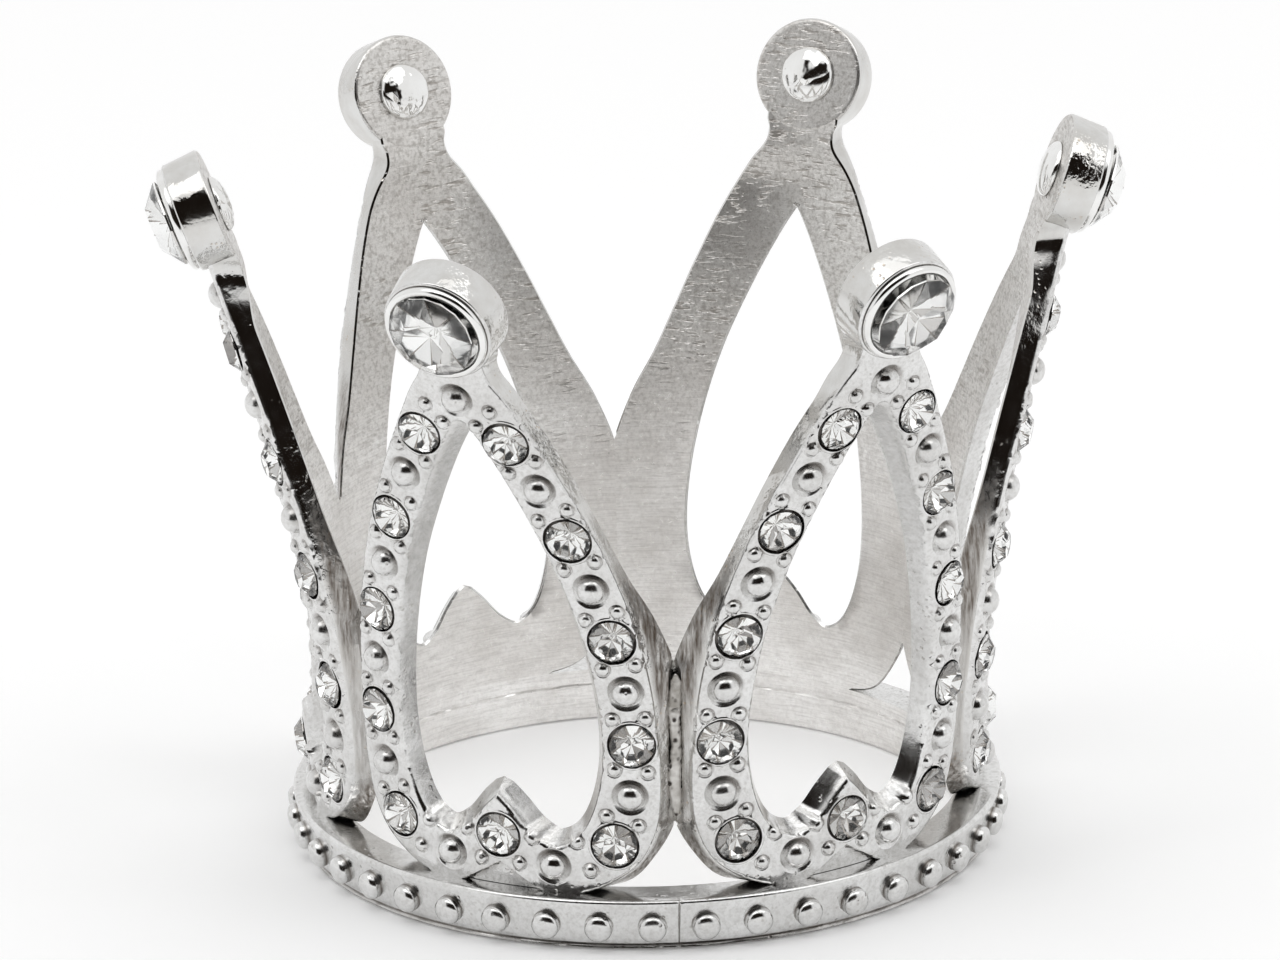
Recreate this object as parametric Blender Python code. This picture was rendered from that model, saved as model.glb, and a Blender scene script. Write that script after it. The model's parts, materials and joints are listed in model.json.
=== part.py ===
"""Small six-petal hair crown, drawn in metres with +Z up.

The casting stands on its beaded base ring. Six pierced petals rise from the ring and curl outward,
and each ends in a round boss that carries a riveted setting with a large crystal. The butt seam
where the strip was closed into a ring faces -Y, between petal_1 and petal_6.
"""

import math

import bmesh
import bpy
from mathutils import Matrix, Vector
from mathutils.geometry import delaunay_2d_cdt

MM = 0.001

# Overall arrangement
PETALS = 6
PITCH = 2.0 * math.pi / PETALS
JOINT_GAP = 0.05  # clearance left at every butt joint of the casting

# Base ring
RING_HEIGHT = 3.4
RING_INNER = 19.7
RING_OUTER_FOOT = 21.8
RING_OUTER_TOP = 22.4
RING_EDGE = 0.25
CREASE_HEIGHT = 2.4  # the inner face is upright to here and leans outward above
RING_STEPS = 54
BEADS_PER_PETAL = 7
RING_BEAD_RADIUS = 0.85
RING_BEAD_RISE = 0.60
RING_BEAD_HEIGHT = 1.65

# Flare of the petals: inner radius = RING_INNER + lean * h + curl * h^3, h above the crease
FLARE_LEAN = 0.075
FLARE_CURL = 6.1e-5

# Petal plate
PLATE = 1.5
OPENING_DRAFT = 0.75  # the opening is this much smaller at the back face
PETAL_FOOT = RING_HEIGHT + JOINT_GAP

# Half outline of the petal front face, (distance from its centre line, height)
OUTLINE = (
    (0.0, PETAL_FOOT),
    (2.8, PETAL_FOOT),
    (5.4, PETAL_FOOT),
    (7.6, 4.4),
    (9.2, 5.8),
    (10.2, 8.0),
    (10.55, 10.9),
    (10.5, 14.2),
    (10.25, 17.6),
    (9.6, 21.4),
    (8.8, 24.3),
    (7.8, 27.2),
    (6.5, 30.2),
    (4.85, 33.6),
    (3.35, 36.4),
    (2.35, 37.9),
    (2.15, 38.8),
    (2.4, 39.6),
    (2.1, 40.8),
    (0.0, 41.4),
)
# The same outline at the back face, where it widens into the web shared with the next petal
BACK_OUTLINE = (
    (0.0, PETAL_FOOT),
    (2.8, PETAL_FOOT),
    (5.6, PETAL_FOOT),
    (7.8, 4.0),
    (9.4, 5.7),
    (10.6, 7.8),
    (11.3, 10.4),
    (11.3, 14.2),
    (11.35, 17.7),
    (10.25, 21.4),
    (8.85, 24.3),
    (7.7, 27.2),
    (6.55, 30.2),
    (5.05, 33.7),
    (3.5, 36.5),
    (2.45, 37.9),
    (2.25, 38.8),
    (2.45, 39.6),
    (2.1, 40.8),
    (0.0, 41.3),
)
# Half outline of the opening, a drop with two lobes and a cusp pointing up between them
OPENING = (
    (0.0, 9.6),
    (0.9, 8.7),
    (2.1, 7.3),
    (3.6, 6.5),
    (5.2, 7.3),
    (6.3, 9.3),
    (6.95, 12.4),
    (6.9, 16.2),
    (6.2, 20.6),
    (5.0, 25.0),
    (3.3, 29.2),
    (1.6, 32.6),
    (0.0, 34.7),
)

# Seats and bumps along one limb, (distance from the centre line, height)
STONE_SEATS = (
    (2.9, 33.7),
    (6.0, 27.3),
    (8.1, 20.5),
    (8.85, 13.5),
    (7.45, 6.75),
)
CUSP_SEAT = (0.0, 6.9)
LIMB_BEADS = (
    (4.5, 30.6),
    (7.1, 23.9),
    (8.7, 17.0),
    (8.55, 10.0),
    (3.5, 5.15),
)
TOP_BEAD = (0.0, 36.4)
STONE_PAIRS_BUILT = 3  # pairs of small stones drawn as pieces, counted from the top

SEAT_RADIUS = 1.45
SEAT_DEPTH = 0.75
BEAD_RADIUS = 1.05
BEAD_RISE = 0.65
SMALL_SIDES = 8
BEAD_SIDES = 6

# Small stone
STONE_RADIUS = 1.36
STONE_TABLE = 0.75
STONE_RISE = 0.62
STONE_BOTTOM = 0.60

# Tip boss, measured along its own axis from the back face of the plate
BOSS_HEIGHT = 42.1
BOSS_BACK = -0.55
BLEND_LOW = 35.8
BLEND_HIGH = 39.2
BOSS_RADIUS_BACK = 3.68
BOSS_RADIUS_FRONT = 3.50
BOSS_THICK = 1.90
POCKET_RADIUS = 2.85
POCKET_FLOOR = 0.90
RIVET_HOLE = 1.10
SPOT_FACE = 1.95
SPOT_DEPTH = 0.10
BOSS_SIDES = 20

# Setting: cup, flange, shank and domed head in one turned piece
HEAD_RADIUS = 1.78
HEAD_RISE = 0.72
SHANK_RADIUS = 1.02
CUP_RADIUS = 2.75
CUP_BORE = 2.62
FLANGE_RADIUS = 3.25
LIP_TOP = 2.38
SETTING_SIDES = 16

# Large crystal
CRYSTAL_RADIUS = 2.66
CRYSTAL_GIRDLE = 2.65
CRYSTAL_TOP = 3.80
CRYSTAL_TABLE = 1.45
CRYSTAL_SIDES = 12

# Solder run in the valley of the closing seam
SOLDER_LOW = 8.4
SOLDER_HIGH = 18.0
SOLDER_HALF = 0.30


def clear_scene():
    for obj in list(bpy.data.objects):
        bpy.data.objects.remove(obj, do_unlink=True)


def material(name, color, metallic, roughness, transmission=0.0):
    made = bpy.data.materials.new(name)
    made.use_nodes = True
    shader = made.node_tree.nodes["Principled BSDF"]
    shader.inputs["Base Color"].default_value = (*color, 1.0)
    shader.inputs["Metallic"].default_value = metallic
    shader.inputs["Roughness"].default_value = roughness
    shader.inputs["Transmission Weight"].default_value = transmission
    made.diffuse_color = (*color, 1.0)
    return made


def flare(height):
    """Inner radius of the casting at this height."""
    above = max(height - CREASE_HEIGHT, 0.0)
    return RING_INNER + FLARE_LEAN * above + FLARE_CURL * above**3


def flare_slope(height):
    above = max(height - CREASE_HEIGHT, 0.0)
    return FLARE_LEAN + 3.0 * FLARE_CURL * above**2


def on_petal(across, height, out):
    """Point of a petal whose centre line lies on -Y, in mm: across the face, up, and out of the back face."""
    radius = flare(height) + out
    angle = across / radius
    return Vector((radius * math.sin(angle), -radius * math.cos(angle), height))


def petal_frame(across, height, out):
    """Frame on the petal surface, +Z pointing out of the face and +Y up along it."""
    origin = on_petal(across, height, out)
    angle = math.atan2(origin.x, -origin.y)
    lean = math.atan(flare_slope(height))
    normal = Vector(
        (
            math.cos(lean) * math.sin(angle),
            -math.cos(lean) * math.cos(angle),
            -math.sin(lean),
        )
    )
    side = Vector((math.cos(angle), math.sin(angle), 0.0))
    up = normal.cross(side)
    frame = Matrix((side, up, normal)).transposed().to_4x4()
    frame.translation = origin
    return frame


def turned(index):
    """Rotation that carries the pattern petal to petal number index, counted from the seam."""
    return Matrix.Rotation(PITCH * (index - 0.5), 4, "Z")


def smooth_half(points, steps):
    """Catmull-Rom curve through a half outline, leaving the first and last point on the centre line."""
    count = len(points)
    curve = []
    for i in range(count - 1):
        before = points[max(i - 1, 0)]
        after = points[min(i + 2, count - 1)]
        for k in range(steps):
            t = k / steps
            both = []
            for axis in (0, 1):
                a, b, c, d = before[axis], points[i][axis], points[i + 1][axis], after[axis]
                both.append(
                    0.5
                    * (
                        2.0 * b
                        + (c - a) * t
                        + (2.0 * a - 5.0 * b + 4.0 * c - d) * t * t
                        + (3.0 * b - a - 3.0 * c + d) * t**3
                    )
                )
            curve.append(tuple(both))
    curve.append(points[-1])
    return curve


def full_loop(half):
    """Mirrors a half outline into a loop that runs counter-clockwise."""
    other = [(-u, v) for u, v in reversed(half[1:-1])]
    return list(half) + other


def offset_loop(loop, distance):
    """Moves a counter-clockwise loop outward along its own normals."""
    moved = []
    count = len(loop)
    for i, (u, v) in enumerate(loop):
        before = Vector(loop[i - 1])
        after = Vector(loop[(i + 1) % count])
        run = (after - before).normalized()
        moved.append((u + distance * run.y, v - distance * run.x))
    return moved


def closed_mesh(name, points, faces):
    """Mesh in metres from points in mm, with every face turned outward."""
    mesh = bpy.data.meshes.new(name)
    mesh.from_pydata([tuple(c * MM for c in p) for p in points], [], faces)
    edit = bmesh.new()
    edit.from_mesh(mesh)
    bmesh.ops.recalc_face_normals(edit, faces=edit.faces)
    edit.to_mesh(mesh)
    edit.free()
    return mesh


def new_object(name, points, faces, look):
    mesh = closed_mesh(name, points, faces)
    mesh.materials.append(look)
    obj = bpy.data.objects.new(name, mesh)
    bpy.context.scene.collection.objects.link(obj)
    return obj


def turned_mesh(profile, sides, twist=0.0):
    """Closed solid of revolution about Z through (radius, height) points; the ends sit on the axis or close."""
    points = []
    faces = []
    rings = []
    for radius, height in profile:
        if radius <= 1e-6:
            rings.append([len(points)])
            points.append((0.0, 0.0, height))
            continue
        ring = []
        for k in range(sides):
            angle = twist + 2.0 * math.pi * k / sides
            ring.append(len(points))
            points.append((radius * math.cos(angle), radius * math.sin(angle), height))
        rings.append(ring)
    for low, high in zip(rings, rings[1:]):
        for k in range(sides):
            n = (k + 1) % sides
            if len(low) == 1:
                faces.append((low[0], high[n], high[k]))
            elif len(high) == 1:
                faces.append((low[k], low[n], high[0]))
            else:
                faces.append((low[k], low[n], high[n], high[k]))
    return points, faces


def helper(name, points, faces):
    obj = bpy.data.objects.new(name, closed_mesh(name, points, faces))
    bpy.context.scene.collection.objects.link(obj)
    obj.hide_render = True
    obj.display_type = "WIRE"
    return obj


def moved_solid(points, faces, frame, bag):
    """Adds a solid, carried to a frame, to the (points, faces) bag of a joined cutter."""
    start = len(bag[0])
    bag[0].extend(tuple(frame @ Vector(p)) for p in points)
    bag[1].extend(tuple(start + i for i in face) for face in faces)


def boolean(obj, other, operation):
    cut = obj.modifiers.new(operation.lower(), "BOOLEAN")
    cut.operation = operation
    cut.solver = "EXACT"
    cut.use_self = False
    cut.object = other


def bake(obj):
    """Applies the modifiers, so that petals can share one finished mesh."""
    graph = bpy.context.evaluated_depsgraph_get()
    finished = bpy.data.meshes.new_from_object(obj.evaluated_get(graph))
    obj.modifiers.clear()
    obj.data = finished


def drop(*objects):
    for obj in objects:
        bpy.data.objects.remove(obj, do_unlink=True)


def shade(obj, angle):
    obj.data.shade_smooth()
    obj.data.set_sharp_from_angle(angle=math.radians(angle))


def inside(point, loop):
    """Even-odd test of a flat point against a closed loop."""
    hit = False
    x, y = point
    for i, (x1, y1) in enumerate(loop):
        x0, y0 = loop[i - 1]
        if (y0 > y) != (y1 > y) and x < x0 + (y - y0) * (x1 - x0) / (y1 - y0):
            hit = not hit
    return hit


def face_triangles(outer, hole, middle):
    """Triangles between an outline and its opening, through a few points in the middle of the band."""
    flat = [Vector(p) for p in outer + hole + middle]
    edges = [(i, (i + 1) % len(outer)) for i in range(len(outer))]
    edges += [(len(outer) + i, len(outer) + (i + 1) % len(hole)) for i in range(len(hole))]
    made, _, triangles, *_ = delaunay_2d_cdt(flat, edges, [], 0, 1e-6)
    kept = []
    for triangle in triangles:
        centre = sum((made[i] for i in triangle), Vector((0.0, 0.0))) / 3.0
        if inside(centre, outer) and not inside(centre, hole):
            kept.append(tuple(triangle))
    return kept


def back_face(height):
    """How far out the back face of the plate lies: it swells inward to meet the back of the boss."""
    share = min(max((height - BLEND_LOW) / (BLEND_HIGH - BLEND_LOW), 0.0), 1.0)
    return BOSS_BACK * share * share * (3.0 - 2.0 * share)


def plate_mesh():
    """The pierced petal plate: front and back faces between two loops, and the two drafted walls."""
    outer = full_loop(smooth_half(OUTLINE, 2))
    inner = full_loop(smooth_half(OPENING, 2))
    widened = full_loop(smooth_half(BACK_OUTLINE, 2))
    narrowed = offset_loop(inner, -OPENING_DRAFT)
    middle = mirrored(STONE_SEATS[1:] + LIMB_BEADS[2:]) + [CUSP_SEAT, TOP_BEAD]
    points = []
    faces = []
    spans = []
    for loop, hole, front in ((outer, inner, True), (widened, narrowed, False)):
        start = len(points)
        trimmed = []
        for across, height in loop:
            height = max(height, PETAL_FOOT)
            out = PLATE if front else 0.0
            limit = (flare(height) + out) * PITCH / 2.0 - JOINT_GAP
            trimmed.append((max(-limit, min(limit, across)), height))
        for across, height in trimmed + hole + middle:
            points.append(tuple(on_petal(across, height, PLATE if front else back_face(height))))
        faces.extend(tuple(start + i for i in tri) for tri in face_triangles(trimmed, hole, middle))
        spans.append(start)
    front, back = spans
    for start, count in ((0, len(outer)), (len(outer), len(inner))):
        for i in range(count):
            here = start + i
            there = start + (i + 1) % count
            faces.append((front + here, back + here, back + there, front + there))
    return points, faces


def mirrored(spots):
    return [(s * u, v) for u, v in spots for s in (-1.0, 1.0)]


def boss_frame():
    return petal_frame(0.0, BOSS_HEIGHT, 0.0)


def pattern_petal(silver):
    points, faces = plate_mesh()
    petal = new_object("petal_1", points, faces, silver)

    back, front = BOSS_RADIUS_BACK, BOSS_RADIUS_FRONT
    boss_profile = ((0.0, BOSS_BACK), (back - 0.25, BOSS_BACK), (back, BOSS_BACK + 0.3),
                    (front, BOSS_THICK - 0.15), (front - 0.15, BOSS_THICK), (0.0, BOSS_THICK))
    boss = ([], [])
    moved_solid(*turned_mesh(boss_profile, BOSS_SIDES), boss_frame(), boss)
    boss_body = helper("boss_body", *boss)

    bumps = ([], [])
    bead = ((0.0, -0.3), (BEAD_RADIUS, -0.3), (0.82 * BEAD_RADIUS, 0.62 * BEAD_RISE), (0.0, BEAD_RISE))
    for across, height in mirrored(LIMB_BEADS) + [TOP_BEAD]:
        moved_solid(*turned_mesh(bead, BEAD_SIDES), petal_frame(across, height, PLATE), bumps)
    bump_bodies = helper("bump_bodies", *bumps)

    seats = ([], [])
    seat = ((0.0, -SEAT_DEPTH), (SEAT_RADIUS, -SEAT_DEPTH), (SEAT_RADIUS, 1.0), (0.0, 1.0))
    for across, height in mirrored(STONE_SEATS) + [CUSP_SEAT]:
        moved_solid(*turned_mesh(seat, SMALL_SIDES, math.pi / 8.0),
                    petal_frame(across, height, PLATE), seats)
    seat_cutters = helper("seat_cutters", *seats)

    bores = ([], [])
    spot = BOSS_BACK + SPOT_DEPTH
    pocket = ((0.0, -2.0), (SPOT_FACE, -2.0), (SPOT_FACE, spot), (RIVET_HOLE, spot),
              (RIVET_HOLE, POCKET_FLOOR), (POCKET_RADIUS, POCKET_FLOOR), (POCKET_RADIUS, 3.5),
              (0.0, 3.5))
    moved_solid(*turned_mesh(pocket, SETTING_SIDES), boss_frame(), bores)
    bore_cutter = helper("bore_cutter", *bores)

    boolean(petal, boss_body, "UNION")
    boolean(petal, bump_bodies, "UNION")
    boolean(petal, seat_cutters, "DIFFERENCE")
    boolean(petal, bore_cutter, "DIFFERENCE")
    bake(petal)
    drop(boss_body, bump_bodies, seat_cutters, bore_cutter)
    shade(petal, 35.0)
    return petal


def ring_profile():
    edge = RING_EDGE
    crease = CREASE_HEIGHT
    top_in = flare(RING_HEIGHT)
    foot, top = RING_OUTER_FOOT, RING_OUTER_TOP
    return (
        (RING_INNER + edge, 0.0),
        (foot - edge, 0.0),
        (foot, edge),
        (top, RING_HEIGHT - edge),
        (top - edge, RING_HEIGHT),
        (top_in, RING_HEIGHT),
        (RING_INNER, crease),
        (RING_INNER, edge),
    )


def base_ring(silver):
    profile = ring_profile()
    count = len(profile)
    points = []
    faces = []
    for k in range(RING_STEPS):
        angle = 2.0 * math.pi * k / RING_STEPS
        for radius, height in profile:
            points.append((radius * math.sin(angle), -radius * math.cos(angle), height))
    for k in range(RING_STEPS):
        here = k * count
        there = ((k + 1) % RING_STEPS) * count
        for i in range(count):
            j = (i + 1) % count
            faces.append((here + i, there + i, there + j, here + j))
    ring = new_object("base_ring", points, faces, silver)

    beads = ([], [])
    bump = ((0.0, -0.4), (RING_BEAD_RADIUS, -0.4), (0.8 * RING_BEAD_RADIUS, 0.6 * RING_BEAD_RISE),
            (0.0, RING_BEAD_RISE))
    total = PETALS * BEADS_PER_PETAL
    share = (RING_BEAD_HEIGHT - RING_EDGE) / (RING_HEIGHT - 2.0 * RING_EDGE)
    radius = RING_OUTER_FOOT + share * (RING_OUTER_TOP - RING_OUTER_FOOT)
    lean = math.atan2(RING_OUTER_TOP - RING_OUTER_FOOT, RING_HEIGHT - 2.0 * RING_EDGE)
    for k in range(total):
        frame = (Matrix.Rotation(2.0 * math.pi * (k + 0.5) / total, 4, "Z")
                 @ Matrix.Translation((0.0, -radius, RING_BEAD_HEIGHT))
                 @ Matrix.Rotation(math.pi / 2.0 + lean, 4, "X"))
        moved_solid(*turned_mesh(bump, BEAD_SIDES), frame, beads)
    bead_bodies = helper("bead_bodies", *beads)
    boolean(ring, bead_bodies, "UNION")
    bake(ring)
    drop(bead_bodies)
    shade(ring, 35.0)
    return ring


def setting_profile():
    return (
        (0.0, BOSS_BACK - HEAD_RISE),
        (0.62 * HEAD_RADIUS, BOSS_BACK - 0.80 * HEAD_RISE),
        (HEAD_RADIUS, BOSS_BACK - 0.30 * HEAD_RISE),
        (HEAD_RADIUS, BOSS_BACK),
        (SHANK_RADIUS, BOSS_BACK),
        (SHANK_RADIUS, POCKET_FLOOR + JOINT_GAP),
        (CUP_RADIUS, POCKET_FLOOR + JOINT_GAP),
        (CUP_RADIUS, BOSS_THICK + JOINT_GAP),
        (FLANGE_RADIUS, BOSS_THICK + JOINT_GAP),
        (FLANGE_RADIUS, LIP_TOP - 0.12),
        (FLANGE_RADIUS - 0.15, LIP_TOP),
        (CUP_BORE, LIP_TOP),
        (CUP_BORE, BOSS_THICK - 0.10),
        (0.0, 1.30),
    )


def crystal_profile():
    return (
        (0.0, 1.50),
        (CUP_BORE - 0.12, LIP_TOP - 0.05),
        (CRYSTAL_RADIUS, CRYSTAL_GIRDLE),
        (CRYSTAL_RADIUS, CRYSTAL_GIRDLE + 0.15),
        (0.5 * (CRYSTAL_RADIUS + CRYSTAL_TABLE) + 0.1, 0.3 * CRYSTAL_GIRDLE + 0.7 * CRYSTAL_TOP),
        (CRYSTAL_TABLE, CRYSTAL_TOP),
        (0.0, CRYSTAL_TOP),
    )


def stone_profile():
    return (
        (0.0, -STONE_BOTTOM),
        (0.45, -STONE_BOTTOM),
        (STONE_RADIUS, 0.0),
        (STONE_TABLE, STONE_RISE),
        (0.0, STONE_RISE),
    )


def solder_seam(tin):
    """A thin run of solder along the valley between the two petals that meet at the seam."""
    points = []
    faces = []
    levels = 7
    for i in range(levels):
        height = SOLDER_LOW + (SOLDER_HIGH - SOLDER_LOW) * i / (levels - 1)
        wide = SOLDER_HALF * (1.0 if i % 2 else 0.8)
        base = flare(height)
        for across, out in ((0.0, 0.45), (wide, 0.80), (0.0, 0.98), (-wide, 0.80)):
            points.append((across, -(base + out), height))
    for i in range(levels - 1):
        for k in range(4):
            n = (k + 1) % 4
            faces.append((4 * i + k, 4 * i + n, 4 * i + 4 + n, 4 * i + 4 + k))
    faces.append((3, 2, 1, 0))
    top = 4 * (levels - 1)
    faces.append((top, top + 1, top + 2, top + 3))
    return new_object("solder_seam", points, faces, tin)


def place(obj, matrix):
    """Sets location and rotation from a rigid matrix in mm."""
    obj.rotation_mode = "QUATERNION"
    obj.rotation_quaternion = matrix.to_quaternion()
    obj.location = matrix.translation * MM


def copy_of(pattern, name):
    obj = bpy.data.objects.new(name, pattern.data)
    bpy.context.scene.collection.objects.link(obj)
    return obj


def build():
    clear_scene()
    silver = material("silver_plate", (0.86, 0.86, 0.85), 1.0, 0.22)
    bright = material("setting_silver", (0.90, 0.90, 0.89), 1.0, 0.15)
    clear = material("crystal_clear", (0.93, 0.95, 0.97), 0.0, 0.03, 0.6)
    foil = material("rhinestone", (0.88, 0.90, 0.93), 0.0, 0.05, 0.5)
    tin = material("solder", (0.70, 0.70, 0.69), 1.0, 0.35)

    base_ring(silver)
    solder_seam(tin)

    petal = pattern_petal(silver)
    setting = new_object("setting_1", *turned_mesh(setting_profile(), SETTING_SIDES), bright)
    shade(setting, 35.0)
    crystal = new_object("crystal_1", *turned_mesh(crystal_profile(), CRYSTAL_SIDES), clear)
    stone = new_object("stone_1_left_1",
                       *turned_mesh(stone_profile(), SMALL_SIDES, math.pi / 8.0), foil)

    for index in range(1, PETALS + 1):
        turn = turned(index)
        here = petal if index == 1 else copy_of(petal, f"petal_{index}")
        place(here, turn)
        cup = setting if index == 1 else copy_of(setting, f"setting_{index}")
        place(cup, turn @ boss_frame())
        gem = crystal if index == 1 else copy_of(crystal, f"crystal_{index}")
        place(gem, turn @ boss_frame())
        for number, (across, height) in enumerate(STONE_SEATS[:STONE_PAIRS_BUILT], 1):
            for side, sign in (("left", -1.0), ("right", 1.0)):
                name = f"stone_{index}_{side}_{number}"
                chip = stone if name == stone.name else copy_of(stone, name)
                place(chip, turn @ petal_frame(sign * across, height, PLATE))


build()
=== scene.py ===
"""Looks of a small six-petal hair crown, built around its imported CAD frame.

The casting (base ring and petals) is rebuilt with fine relief: collared beads, granules, open seats and
rounded edges. Every stone is a faceted chaton with a foiled pavilion. Lengths are in millimetres until
they reach a mesh, which is in metres like the frame.
"""

import json
import math
import random

import bpy
import numpy as np
from mathutils import Matrix, Vector
from mathutils.geometry import delaunay_2d_cdt

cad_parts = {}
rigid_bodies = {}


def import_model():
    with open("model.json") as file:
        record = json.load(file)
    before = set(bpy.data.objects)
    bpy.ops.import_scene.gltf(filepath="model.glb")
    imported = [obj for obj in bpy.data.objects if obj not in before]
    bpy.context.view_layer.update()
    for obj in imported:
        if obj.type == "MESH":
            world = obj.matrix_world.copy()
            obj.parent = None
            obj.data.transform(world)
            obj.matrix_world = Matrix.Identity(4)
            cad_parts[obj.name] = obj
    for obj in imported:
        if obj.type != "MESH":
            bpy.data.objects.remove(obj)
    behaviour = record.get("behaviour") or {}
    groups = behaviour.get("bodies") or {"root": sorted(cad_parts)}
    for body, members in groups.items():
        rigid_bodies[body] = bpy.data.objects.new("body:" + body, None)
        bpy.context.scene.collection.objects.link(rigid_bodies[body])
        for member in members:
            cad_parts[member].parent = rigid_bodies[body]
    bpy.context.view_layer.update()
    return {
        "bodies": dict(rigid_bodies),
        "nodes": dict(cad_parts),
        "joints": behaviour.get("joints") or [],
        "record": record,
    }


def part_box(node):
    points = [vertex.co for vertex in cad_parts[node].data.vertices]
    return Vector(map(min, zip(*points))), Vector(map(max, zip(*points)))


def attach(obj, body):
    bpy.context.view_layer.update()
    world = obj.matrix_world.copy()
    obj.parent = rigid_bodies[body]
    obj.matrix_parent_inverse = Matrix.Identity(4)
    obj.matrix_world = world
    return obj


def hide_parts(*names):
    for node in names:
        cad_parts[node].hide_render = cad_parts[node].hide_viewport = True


MM = 0.001
PER_MM = 1000.0

# Overall arrangement, as in the CAD frame
PETALS = 6
PITCH = 2.0 * math.pi / PETALS

# Base ring
RING_INNER = 19.7
CREASE_HEIGHT = 2.4
RING_OUTER_FOOT = 21.8
RING_OUTER_TOP = 22.4
GROOVE_HEIGHT = 0.32
RING_COLUMNS = 252
CLOSING_HALF = 0.012  # half angle of the scored line where the ring was closed, in radians
BEADS_PER_PETAL = 7
RING_BEAD_HEIGHT = 1.62

# Flare of the petals
FLARE_LEAN = 0.075
FLARE_CURL = 6.1e-5

# Petal plate
PLATE = 1.5
OPENING_DRAFT = 0.75
EDGE_ROUND = 0.30
BACK_ROUND = 0.12
WEB_THICKNESS = 0.75
CURVE_STEPS = 8
FILL_SPACING = 0.48
BACK_FILL = (0.9, 0.6)  # across and up the back face
WALL_SHARES = (0.33, 0.66, 1.0)  # rows of a wall between the front face and the back one

# Material slots of the casting and of a chaton
CAST, BRUSHED, WALL = range(3)
GLASS, FOIL, SEAM = range(3)

# Half outlines of a petal, (distance from its centre line, height)
OUTLINE = (
    (0.0, 3.4), (2.8, 3.4), (5.4, 3.4), (7.6, 4.4), (9.2, 5.8), (10.2, 8.0), (10.55, 10.9),
    (10.5, 14.2), (10.25, 17.6), (9.6, 21.4), (8.8, 24.3), (7.8, 27.2), (6.5, 30.2), (4.85, 33.6),
    (3.35, 36.4), (2.35, 37.9), (2.15, 38.8), (2.4, 39.6), (2.1, 40.8), (0.0, 41.4),
)
BACK_OUTLINE = (
    (0.0, 3.4), (2.8, 3.4), (5.6, 3.4), (7.8, 4.0), (9.4, 5.7), (10.6, 7.8), (11.3, 10.4),
    (11.3, 14.2), (11.35, 17.7), (10.25, 21.4), (8.85, 24.3), (7.7, 27.2), (6.55, 30.2),
    (5.05, 33.7), (3.5, 36.5), (2.45, 37.9), (2.25, 38.8), (2.45, 39.6), (2.1, 40.8), (0.0, 41.3),
)
OPENING = (
    (0.0, 9.6), (0.9, 8.7), (2.1, 7.3), (3.6, 6.5), (5.2, 7.3), (6.3, 9.3), (6.95, 12.4),
    (6.9, 16.2), (6.2, 20.6), (5.0, 25.0), (3.3, 29.2), (1.65, 32.6), (0.45, 34.6), (0.0, 34.85),
)

# What sits on a limb, (distance from the centre line, height), from the tip down
STONE_SEATS = ((2.9, 33.7), (6.0, 27.3), (8.1, 20.5), (8.85, 13.5), (7.45, 6.75))
CUSP_SEAT = (0.0, 6.9)
LIMB_BEADS = ((4.5, 30.6), (7.1, 23.9), (8.7, 17.0), (8.55, 10.0), (3.5, 5.15))
TOP_BEAD = (0.0, 36.4)
STONE_PAIRS_IN_CAD = 3

# Relief of the front face
SEAT_RADIUS = 1.475
SEAT_DEPTH = 1.30
SEAT_RIM = 0.20
BEAD_RADIUS = 0.87
BEAD_RISE = 0.64
COLLAR = 0.38
COLLAR_DEPTH = 0.13
GRANULE_RADIUS = 0.43
GRANULE_RISE = 0.29
GRANULE_COLLAR = 0.15
GRANULE_COLLAR_DEPTH = 0.06
GRANULE_OFFSET = 1.02
APEX_SQUEEZE = 0.5  # share of the offset left beside the apex of the opening
NOTCH_APEX = (0.0, 5.1)
NOTCH_HALF = 2.7
NOTCH_DEPTH = 0.40

# Tip
BOSS_HEIGHT = 42.1
BOSS_BACK = -0.55
BLEND_LOW = 35.2
BLEND_HIGH = 38.3
DIP = 0.07  # how far the plate then sinks into the boss
DIP_LOW = 39.0
DIP_HIGH = 40.2
BOSS_RADIUS = 3.68
BOSS_FRONT = 3.50
BOSS_THICK = 1.90
POCKET_RADIUS = 2.95
LIP_RADIUS = 3.32
LIP_TOP = 2.40
LIP_BORE = 2.80
HEAD_RADIUS = 1.80
HEAD_RISE = 0.76
ROUND_SIDES = 72

# Stones: radii of girdle and table, heights of crown, girdle and pavilion, girdle level, seam half angle
LARGE_CHATON = {"radius": 2.77, "table": 1.42, "rise": 1.08, "girdle": 0.12, "depth": 1.00,
                "level": 2.72, "seam": 0.030}
SMALL_CHATON = {"radius": 1.39, "table": 0.76, "rise": 0.58, "girdle": 0.06, "depth": 0.80,
                "level": 0.06, "seam": 0.075}

# Camera
CAMERA_AZIMUTH = -4.70
CAMERA_ELEVATION = 18.92
CAMERA_ROLL = -1.015
CAMERA_DISTANCE = 645.0
CAMERA_TARGET = (-0.12, 0.0, 23.04)
CAMERA_LENS = 289.5

# Opening of the tent round the camera, in degrees: sideways from it, and in elevation at its two edges
DARK_SIDES = (40.0, 54.0)
DARK_BELOW = (-1.0, 5.0)
DARK_ABOVE = (46.0, 56.0)
CLEARED_IN_GLASS = 0.90  # how much of the opening the light that has gone through glass doesn't see

# Lights: azimuth and elevation in degrees, distance and side of the box in metres, power in watts
LIGHTS = {
    "key": (-58.0, 60.0, 0.55, 0.30, 0.30),
    "fill": (64.0, 56.0, 0.55, 0.30, 0.22),
    "top": (10.0, 82.0, 0.60, 0.40, 0.25),
}
LIGHT_TARGET = (0.0, 0.0, 0.022)
FLOOR_HALF = 8.0
FLOOR_LEVEL = -5e-5


# ---- Curves and frames


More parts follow.
